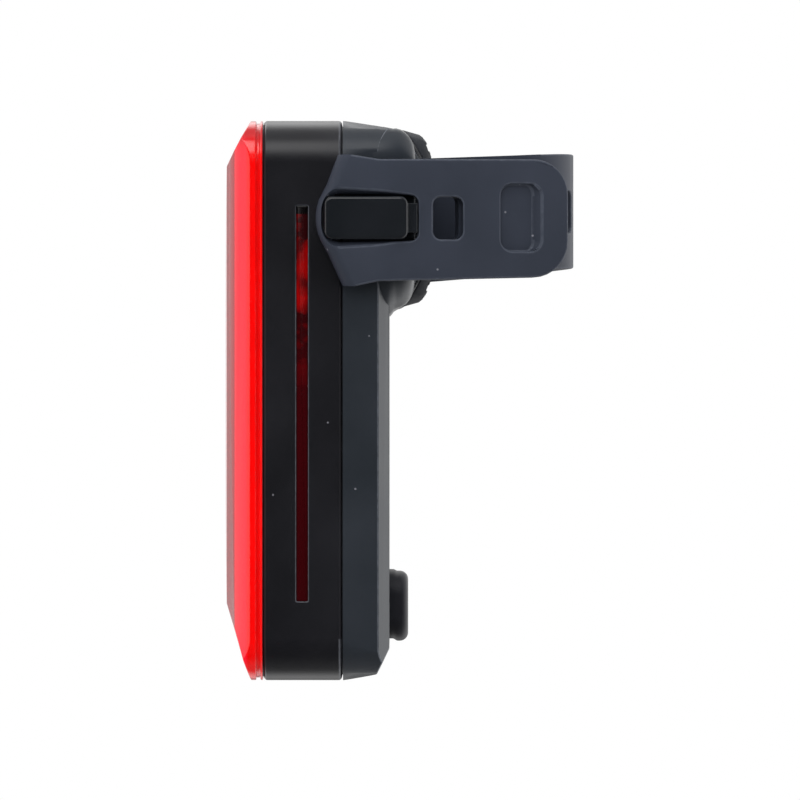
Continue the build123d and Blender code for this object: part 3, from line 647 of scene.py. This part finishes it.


# Visible rigid shells: finish, width of the broken edges, new shape, where edges get a painted highlight, and
# for the cover how near corners merge and the rim that is spared
shells = {
    "front_lens": ("redLens", 0.18, longerSlope, None),
    "main_housing": ("housingPlastic", 0.18, squareSlots, behindLens),
    "back_cover": ("coverPlastic", 0.2, fullerBoss, everywhere, 0.09, coverSeam),
    "strap_bracket": ("hookPlastic", 0.15, tallerArm, awayFromStrap),
    "mount_pad": ("padRubber", 0.3, fullerBoss, None),
    "power_button": ("softRubber", 0.25, lowerButton, None),
    "port_cover": ("softRubber", 0.2, None, everywhere)}
for name, (finish, *way) in shells.items():
    wear(refineNode(name, *way), finish)
makeShoulder()


# Screws of the cover with a hexagon socket
coverScrew = {"socketRadius": 0.85, "socketDeep": 0.9, "sides": 6, "edge": 0.15}
for name in ("cover_screw_right", "cover_screw_left"):
    (x0, y0, z0), (x1, y1, z1) = [[v / mm for v in corner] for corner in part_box(name)]
    screw = refineNode(name, coverScrew["edge"])
    cutOut(screw, addRod(
        "cutter", (x1, (y0 + y1) / 2, (z0 + z1) / 2), coverScrew["socketRadius"], 2 * coverScrew["socketDeep"],
        "X", coverScrew["sides"]))
    smoothOff(screw)
    wear(screw, "steel")
makeWindow("side_window_right", -1)
makeWindow("side_window_left", 1)
print("shells finished:", len(shells))


# Strap: one flat band, cut to length, bent along its path and then cut through
strap = {
    "thickness": 2.0, "halfWidth": 10.5, "midZ": -0.45,
    "path": {
        "rootX": -31.5, "inner": 20.3, "outer": 22.7, "bendX": -19.0, "bendRadius": 12.0, "wrapRadius": 13.7,
        "leaveDeg": 72.6, "slopeDeg": 17.4, "foldX": -28.4, "tailX": 13.2},
    # X, middle and half width of its side view; the last one differs for the tail and the loop
    "edges": [(-34.0, -0.9, 11.4), (-26.25, -0.9, 11.4), (-18.6, -0.85, 10.55), (-10.8, -0.7, 10.5)],
    "tipEdge": (14.0, -0.25, 10.25), "wrapEdge": (14.7, 1.25, 10.05), "easeTo": -15,
    "nose": (5.5, 1.8), "flankTop": 11.4, "flankDeep": (4.5, 4.05),
    # Its hinges, in degrees round the post and along X at the fold
    "hingeDeg": 45.0, "flexHalf": 2.1, "flexBack": 2.4, "tailFlex": (-28.3, -24.2),
    # Degrees a step of the bends and the fold, and the walls of the loop's holes, kept clear
    "step": 2.5, "foldStep": 9, "holeWalls": (9.4, 12.6), "endGap": 0.05,
    "levels": (-9.3, -7.9, -6.5, -5.25, -3.2, -1.9, -0.6, 0.7, 2.0, 3.3, 5.75, 6.9, 8.1, 9.3),
    "slotX": (-29.45, -12.75), "slotNose": 8.5, "slotArm": 8.0, "slotCorners": (3.2, 1.5), "slotSteps": 8,
    "lip": (1.05, 0.25), "lipY": (-23.75, -22.3), "rootSlot": 0.3, "innerSlot": 4, "layerY": -21.2,
    "through": (15, 30), "wrapThrough": (5, 25),
    "holeX": -7.6, "holeSize": (5.2, 7.4), "holeCorner": 1.4, "holeSteps": 8, "wrapHoleSteps": 6,
    "holeDegrees": (-24, 18, 60), "runHole": -66,
    "innerHole": {"ahead": 7.8, "long": 7.2, "taller": 0.6, "through": 3},
    "recess": {"x": 5.3, "size": (7.6, 11.8), "corner": 2.1, "deep": 1.3, "ramp": 1.3, "proud": 0.1},
    "rim": 0.32, "foldRim": 0.25, "rimDegrees": 38, "merge": 0.02, "smoothDegrees": 34,
    "tipCorner": 6.3, "rootCorner": 4.0, "cornerSteps": 8}


def strapRuns():  # length and turn of each stretch, from the captive end to the free tip
    path = strap["path"]
    slope = math.radians(path["slopeDeg"])
    tangent = path["bendRadius"] * math.tan(slope / 2)
    bendLong = path["bendRadius"] * slope
    leave = math.radians(path["leaveDeg"])
    wrapX = path["wrapRadius"] * math.cos(leave)
    slant = (wrapX - path["bendX"]) / math.cos(slope) - tangent
    foldRadius = (path["outer"] - path["inner"]) / 2
    outerBend = path["bendX"] + 2 * foldRadius * math.tan(slope / 2)
    tail = (path["tailX"] - outerBend) / math.cos(slope) - tangent
    return {
        "root": (path["bendX"] - tangent - path["rootX"], 0), "rootBend": (bendLong, -path["slopeDeg"]),
        "rootSlant": (slant, 0), "wrap": (2 * path["wrapRadius"] * leave, -2 * path["leaveDeg"]),
        "runSlant": (slant, 0), "runBend": (bendLong, -path["slopeDeg"]),
        "inner": (path["bendX"] - tangent - path["foldX"], 0), "fold": (math.pi * foldRadius, 180),
        "outer": (outerBend - tangent - path["foldX"], 0), "tailBend": (bendLong, path["slopeDeg"]),
        "tail": (tail, 0)}


runs = strapRuns()
startOf = {}
strapEnd = 0
for name, (length, turn) in runs.items():
    startOf[name] = strapEnd
    strapEnd += length
wrapMiddle = (startOf["wrap"] + startOf["runSlant"]) / 2
flexS = wrapMiddle + strap["path"]["wrapRadius"] * math.radians(strap["hingeDeg"])
seamOne, seamTwo = flexS - strap["flexHalf"], flexS + strap["flexHalf"]
seamThree = startOf["outer"] + strap["tailFlex"][0] - strap["path"]["foldX"]


def onPath(s):  # place and heading of the strap's middle line
    x, y, heading = strap["path"]["rootX"], strap["path"]["inner"], 0.0
    left = s
    for name, (length, turn) in runs.items():
        step = left if name == "tail" else min(left, length)
        if turn:
            radius = length / math.radians(turn)
            turned = step / radius
            x += radius * (math.sin(heading + turned) - math.sin(heading))
            y -= radius * (math.cos(heading + turned) - math.cos(heading))
            heading += turned
        else:
            x += step * math.cos(heading)
            y += step * math.sin(heading)
        left -= step
        if left <= 0:
            break
    return x, y, heading


def foldShift(x, z):  # side view of the fold: a round nose between two slanting flanks
    half, deep = strap["nose"]
    radius = (half * half + deep * deep) / (2 * deep)
    reach = abs(z - strap["midZ"])
    if reach < half:
        shift = radius - math.sqrt(radius * radius - reach * reach)
    else:
        far = strap["flankDeep"][1 if z > strap["midZ"] else 0]
        shift = deep + (reach - half) * (far - deep) / (strap["flankTop"] - half)
    start, end = strap["path"]["bendX"], strap["path"]["foldX"]
    fade = min(max((start - x) / (start - end), 0), 1)
    return shift * fade * fade * (3 - 2 * fade)


def edgeHeights(x, onTail):  # middle and half width of the strap along X
    points = strap["edges"] + [strap["tipEdge"] if onTail else strap["wrapEdge"]]
    for (x0, mid0, half0), (x1, mid1, half1) in zip(points, points[1:]):
        if x <= x1:
            share = min(max((x - x0) / (x1 - x0), 0), 1)
            share = share * share * (3 - 2 * share) if x1 < strap["easeTo"] else share
            return mid0 + share * (mid1 - mid0), half0 + share * (half1 - half0)
    return points[-1][1:]


def bendBand(obj):  # flat band to its place: X is the length, Y the thickness
    for vertex in obj.data.vertices:
        s, out, z = (v / mm for v in vertex.co)
        x, y, heading = onPath(s)
        x -= out * math.sin(heading)
        y += out * math.cos(heading)
        mid, half = edgeHeights(x, s > startOf["fold"])
        z = mid + z * half / strap["halfWidth"]
        if s > startOf["runBend"]:
            x += foldShift(x, z)
        vertex.co = Vector((x, y, z)) * mm
    obj.data.update()


def makeBand(name, s0, s1, corner=None):  # a stretch of the strap, corner is a place and a size
    half = strap["thickness"] / 2
    obj = addBox(name, (s0, s1), (-half, half), (-strap["halfWidth"], strap["halfWidth"]))
    if corner:
        roundEnd(obj, *corner, strap["cornerSteps"])
    nearWall, farWall = strap["holeWalls"]
    for stretch, (length, turn) in runs.items():
        steps = max(math.ceil(abs(turn) / strap["foldStep" if stretch == "fold" else "step"]), 1)
        for s in [startOf[stretch] + length * i / steps for i in range(steps)]:
            turned = math.degrees((wrapMiddle - s) / strap["path"]["wrapRadius"])
            crowded = any(
                nearWall < abs(turned - hole) < farWall for hole in strap["holeDegrees"] + (strap["runHole"],))
            if s0 + strap["endGap"] < s < s1 - strap["endGap"] and not crowded:
                slicePiece(obj, (s, 0, 0), (1, 0, 0))
    if s1 > startOf["inner"] and s0 < startOf["tail"]:
        for z in strap["levels"]:
            slicePiece(obj, (0, 0, z), (0, 0, 1))
    bendBand(obj)
    return obj


def holeCutter(x, y, long, high, corner, midZ):  # x is the middle, y the two ends
    cutter = addBox("cutter", (x - long / 2, x + long / 2), y, (midZ - high / 2, midZ + high / 2))
    roundAlong(cutter, "Y", corner, strap["holeSteps"])
    return cutter


def slotCutter(x0, y, lip=None):
    # Tall round the hook's nose and close to its arm; with a lip it widens towards the first y
    x1, mid = strap["slotX"][1], strap["midZ"]
    cutter = addBox("cutter", (x0, x1), y, (mid - strap["slotNose"] / 2, mid + strap["slotNose"] / 2))
    for vertex in cutter.data.vertices:
        if vertex.co.x / mm > x1 - close:
            up = 1 if vertex.co.z / mm > mid else -1
            vertex.co.z = (mid + up * strap["slotArm"] / 2) * mm
    for atX, size in zip((x0, x1), strap["slotCorners"]):
        roundEnd(cutter, atX, size, strap["slotSteps"])
    if lip:
        noseLip, armLip = lip
        for vertex in cutter.data.vertices:
            x, vertexY, z = vertex.co / mm
            if vertexY < y[0] + close:
                share = (x1 - x) / (x1 - x0)
                grow = armLip + (noseLip - armLip) * share
                z += grow * max(min((z - mid) / (strap["slotArm"] / 2), 1), -1)
                x += armLip * (1 - 2 * share)
                vertex.co = Vector((x, vertexY, z)) * mm
    return cutter


def wrapCutter(degrees):  # a loop hole through the band round the post
    x = strap["path"]["wrapRadius"] * math.cos(math.radians(degrees))
    mid = edgeHeights(x, False)[0]
    long, high = strap["holeSize"]
    cutter = addBox("cutter", strap["wrapThrough"], (-long / 2, long / 2), (mid - high / 2, mid + high / 2))
    roundAlong(cutter, "X", strap["holeCorner"], strap["wrapHoleSteps"])
    turnAbout(cutter, degrees)
    return cutter


# How near an edge has to be to a seam between two stretches to count as the seam's own
seam = {"near": 0.02, "reach": 3, "foldNear": 0.08, "foldY": -21}


def seamPlane(s):  # a test of a place in millimetres
    x, y, heading = onPath(s)
    place, along = Vector((x, y, 0)), Vector((math.cos(heading), math.sin(heading), 0))

    def onSeam(point):
        away = point - place
        return abs(away.dot(along)) < seam["near"] and Vector((away.x, away.y)).length < seam["reach"]

    return onSeam


def foldSeam(point):  # the fold's end, which follows the slanting flanks
    start = strap["tailFlex"][0]
    return point.y < seam["foldY"] and abs(point.x - start - foldShift(start, point.z)) < seam["foldNear"]


def roundRims(obj, seams, rim=None):  # softens every sharp edge but the ones at a seam
    editAs(obj, "VERT", "SELECT")
    bpy.ops.mesh.remove_doubles(threshold=strap["merge"] * mm)
    bpy.ops.mesh.dissolve_degenerate(threshold=strap["merge"] * mm)
    bpy.ops.object.mode_set(mode="OBJECT")
    pickEdges(obj, lambda e: isSharp(e, strap["rimDegrees"])
              and not any(all(onSeam(v.co / mm) for v in e.verts) for onSeam in seams))
    # the rounded edges carry the painted edge highlight
    roundPicked(rim or strap["rim"], highlightWhere=everywhere, clamp=rim is not None)
    smoothOff(obj, strap["smoothDegrees"])
    weighNormals(obj)


def makeWrap():  # from the captive end round most of the post
    wrap = makeBand("strapWrap", 0, seamOne, (0, strap["rootCorner"]))
    cutOut(wrap, slotCutter(strap["slotX"][0] - strap["rootSlot"], strap["through"]))
    for degrees in strap["holeDegrees"]:
        cutOut(wrap, wrapCutter(degrees))
    roundRims(wrap, [seamPlane(seamOne)])
    return wrap


def makeFlex():  # the bend behind the post
    flex = makeBand("strapFlex", seamOne, seamTwo)
    roundRims(flex, [seamPlane(seamOne), seamPlane(seamTwo)])
    return flex


def makeFold(through):  # the way to the hook and the fold in front of it
    slotX, look = strap["slotX"][0], strap["innerHole"]
    run = makeBand("strapFold", seamTwo, seamThree)
    cutOut(run, slotCutter(slotX, through))
    cutOut(run, slotCutter(slotX - strap["innerSlot"], (strap["layerY"], through[1])))
    cutOut(run, slotCutter(slotX, strap["lipY"], strap["lip"]))
    cutOut(run, wrapCutter(strap["runHole"]))
    ahead = look["ahead"] / math.cos(math.radians(strap["path"]["slopeDeg"]))
    x, y, heading = onPath(startOf["runBend"] - ahead)
    cutter = holeCutter(
        x, (y - look["through"], y + look["through"]), look["long"], strap["holeSize"][1] + look["taller"],
        strap["holeCorner"], strap["midZ"])
    turnAbout(cutter, math.degrees(heading), (x, y, 0))
    cutOut(run, cutter)
    roundRims(run, [seamPlane(seamTwo), foldSeam], strap["foldRim"])
    return run


def makeTail(through):  # the outer layer with its slot, hole and recess
    look = strap["recess"]
    tail = makeBand("strapTail", seamThree, strapEnd, (strapEnd, strap["tipCorner"]))
    cutOut(tail, slotCutter(strap["slotX"][0], through))
    cutOut(tail, slotCutter(strap["slotX"][0], strap["lipY"], strap["lip"]))
    cutOut(tail, holeCutter(strap["holeX"], through, *strap["holeSize"], strap["holeCorner"], strap["midZ"]))
    sTip = (strap["path"]["tailX"] - look["x"]) / math.cos(math.radians(strap["path"]["slopeDeg"]))
    x, y, heading = onPath(strapEnd - sTip)
    face = y - strap["thickness"] / 2 / math.cos(heading)
    cutter = holeCutter(
        x, (face - look["proud"], face + look["deep"]), *look["size"], look["corner"], strap["tipEdge"][1])
    for vertex in cutter.data.vertices:  # the deep end stops short of the right side
        vx, vy, vz = vertex.co / mm
        if vy > face and vx > x:
            vertex.co.x -= look["ramp"] * (vx - x) / (look["size"][0] / 2) * mm
    turnAbout(cutter, math.degrees(heading), (x, face, 0))
    cutOut(tail, cutter)
    roundRims(tail, [foldSeam])
    return tail


def makeStrap():
    near, far = strap["through"]
    wrap, flex, run, tail = makeWrap(), makeFlex(), makeFold((-far, -near)), makeTail((-far, -near))
    for obj in (wrap, flex, run, tail):
        wear(obj, "strapSilicone")
    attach(wrap, "light")
    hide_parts("strap_root")
    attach(run, "strap_loop")
    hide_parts("strap_run")
    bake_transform(flex)
    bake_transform(tail)
    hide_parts("strap_tail")


makeStrap()
print("strap made")


# Studio: a small pale floor below, soft boxes and a long lens level with the light. A gloss box
# is a strength and, for each axis, the directions from which it fades in
studio = {
    "floor": {"radius": 0.36, "z": -0.15, "sides": 96, "rough": 0.8, "grain": 300.0, "cloud": 8.0},
    "room": 0.35, "card": (0.02, -0.62, -0.2), "under": (0.25, -0.5, -0.1),
    "glossBoxes": [
        (3.2, {"x": (0.2, 0.0), "y": (-0.4, -0.6), "z": (0.4, 0.6)}),
        (1.8, {"x": (0.3, 0.1), "y": (0.25, 0.5), "z": (0.45, 0.65)}),
        (1.0, {"y": (0.2, 0.45), "z": (-0.5, -0.7)}),
        (1.1, {"x": (0.3, 0.6), "y": (-0.35, 0.0), "z": (0.5, 0.25)}),
        (-0.6, {"x": (-0.1, -0.4), "y": (0.5, 0.7)}),
        (-0.4, {"z": (0.8, 0.95)}),
        (1.2, {"x": (-0.1, -0.3), "y": (0.3, 0.5), "z": (0.1, 0.3)}),
        (0.9, {"x": (-0.1, -0.3), "y": (0.3, 0.5), "z": (-0.05, -0.2)})],
    "boxes": [
        ("leftBox", (-0.8, -0.5, 0.1), (0.5, 0.9), 5),
        ("topBox", (-0.02, -0.3, 0.8), (0.8, 0.5), 5),
        ("rearBox", (0.8, -0.4, 0.1), (0.5, 0.8), 4),
        ("fillBox", (-0.1, -1.1, 0.45), (0.8, 0.6), 7)],
    "aim": (-0.016, 0, -0.032),
    "camera": {"lens": 302, "sensor": 36, "clip": 0.05, "place": (-0.01594, -1.1865, -0.03205)}}


def makeStage():
    look = studio["floor"]
    deselectAll()
    bpy.ops.mesh.primitive_circle_add(
        vertices=look["sides"], radius=look["radius"], fill_type="NGON", location=(0, 0, look["z"]))
    floor = bpy.context.object
    floor.name = "floor"
    settle(floor)
    material, tree, shader = startMaterial("paleFloor")
    grain = useGroup(tree, grainGroup, Scale=look["grain"], Cloud_scale=look["cloud"])
    shade = mixColour(tree, grain.outputs["Cloud"], srgb(226, 226, 226), srgb(236, 236, 236))
    tree.links.new(shade, shader.inputs["Base Color"])
    shader.inputs["Roughness"].default_value = look["rough"]
    floor.data.materials.append(material)
    floor.visible_glossy = False


def makeWorld():
    # White to the eye, an even room for the shades, and a dark card behind the camera for the gloss
    world = bpy.data.worlds.new("studio")
    bpy.context.scene.world = world
    world.use_nodes = True
    world.cycles.sampling_method = "NONE"
    tree = world.node_tree
    tree.nodes.clear()
    rays = addNode(tree, "ShaderNodeLightPath")
    place = addNode(tree, "ShaderNodeTexCoord")
    split = addNode(tree, "ShaderNodeSeparateXYZ")
    tree.links.new(place.outputs["Generated"], split.inputs[0])
    axes = dict(zip("xyz", split.outputs))
    (card, *cardSpan), (under, *underSpan) = studio["card"], studio["under"]
    card = spreadTo(tree, axes["y"], card, 1.0, *cardSpan)
    gloss = addMath(tree, "MULTIPLY", card, spreadTo(tree, axes["z"], under, 1.0, *underSpan))
    for strength, ranges in studio["glossBoxes"]:
        box = strength
        for axis, (start, end) in ranges.items():
            box = addMath(tree, "MULTIPLY", spreadTo(tree, axes[axis], 0, 1, start, end), box)
        gloss = addMath(tree, "ADD", gloss, box)
    gloss = addMath(tree, "MULTIPLY", rays.outputs["Is Glossy Ray"], gloss)
    shade = addMath(tree, "MULTIPLY", rays.outputs["Is Diffuse Ray"], studio["room"])
    seen = addMath(tree, "MAXIMUM", rays.outputs["Is Camera Ray"], rays.outputs["Is Transmission Ray"])
    seen = addMath(tree, "MAXIMUM", seen, addMath(tree, "MAXIMUM", gloss, shade))
    light = addNode(tree, "ShaderNodeBackground")
    light.inputs[0].default_value = (1, 1, 1, 1)
    tree.links.new(seen, light.inputs[1])
    out = addNode(tree, "ShaderNodeOutputWorld")
    tree.links.new(light.outputs[0], out.inputs[0])


def addSoftBox(name, place, size, power):
    light = bpy.data.lights.new(name, "AREA")
    light.shape = "RECTANGLE"
    light.size, light.size_y = size
    light.energy = power
    obj = bpy.data.objects.new(name, light)
    bpy.context.scene.collection.objects.link(obj)
    obj.location = place
    aim = Vector(studio["aim"]) - Vector(place)
    obj.rotation_euler = aim.to_track_quat("-Z", "Y").to_euler()
    obj.visible_glossy = False


def addCamera():
    look = studio["camera"]
    data = bpy.data.cameras.new("camera")
    data.lens = look["lens"]
    data.sensor_width = look["sensor"]
    data.clip_start = look["clip"]
    camera = bpy.data.objects.new("camera", data)
    bpy.context.scene.collection.objects.link(camera)
    camera.location = look["place"]
    camera.rotation_euler = (math.pi / 2, 0, 0)
    bpy.context.scene.camera = camera


makeStage()
makeWorld()
for box in studio["boxes"]:
    addSoftBox(*box)
addCamera()
bpy.context.scene.view_settings.view_transform = "Standard"
print("studio set")
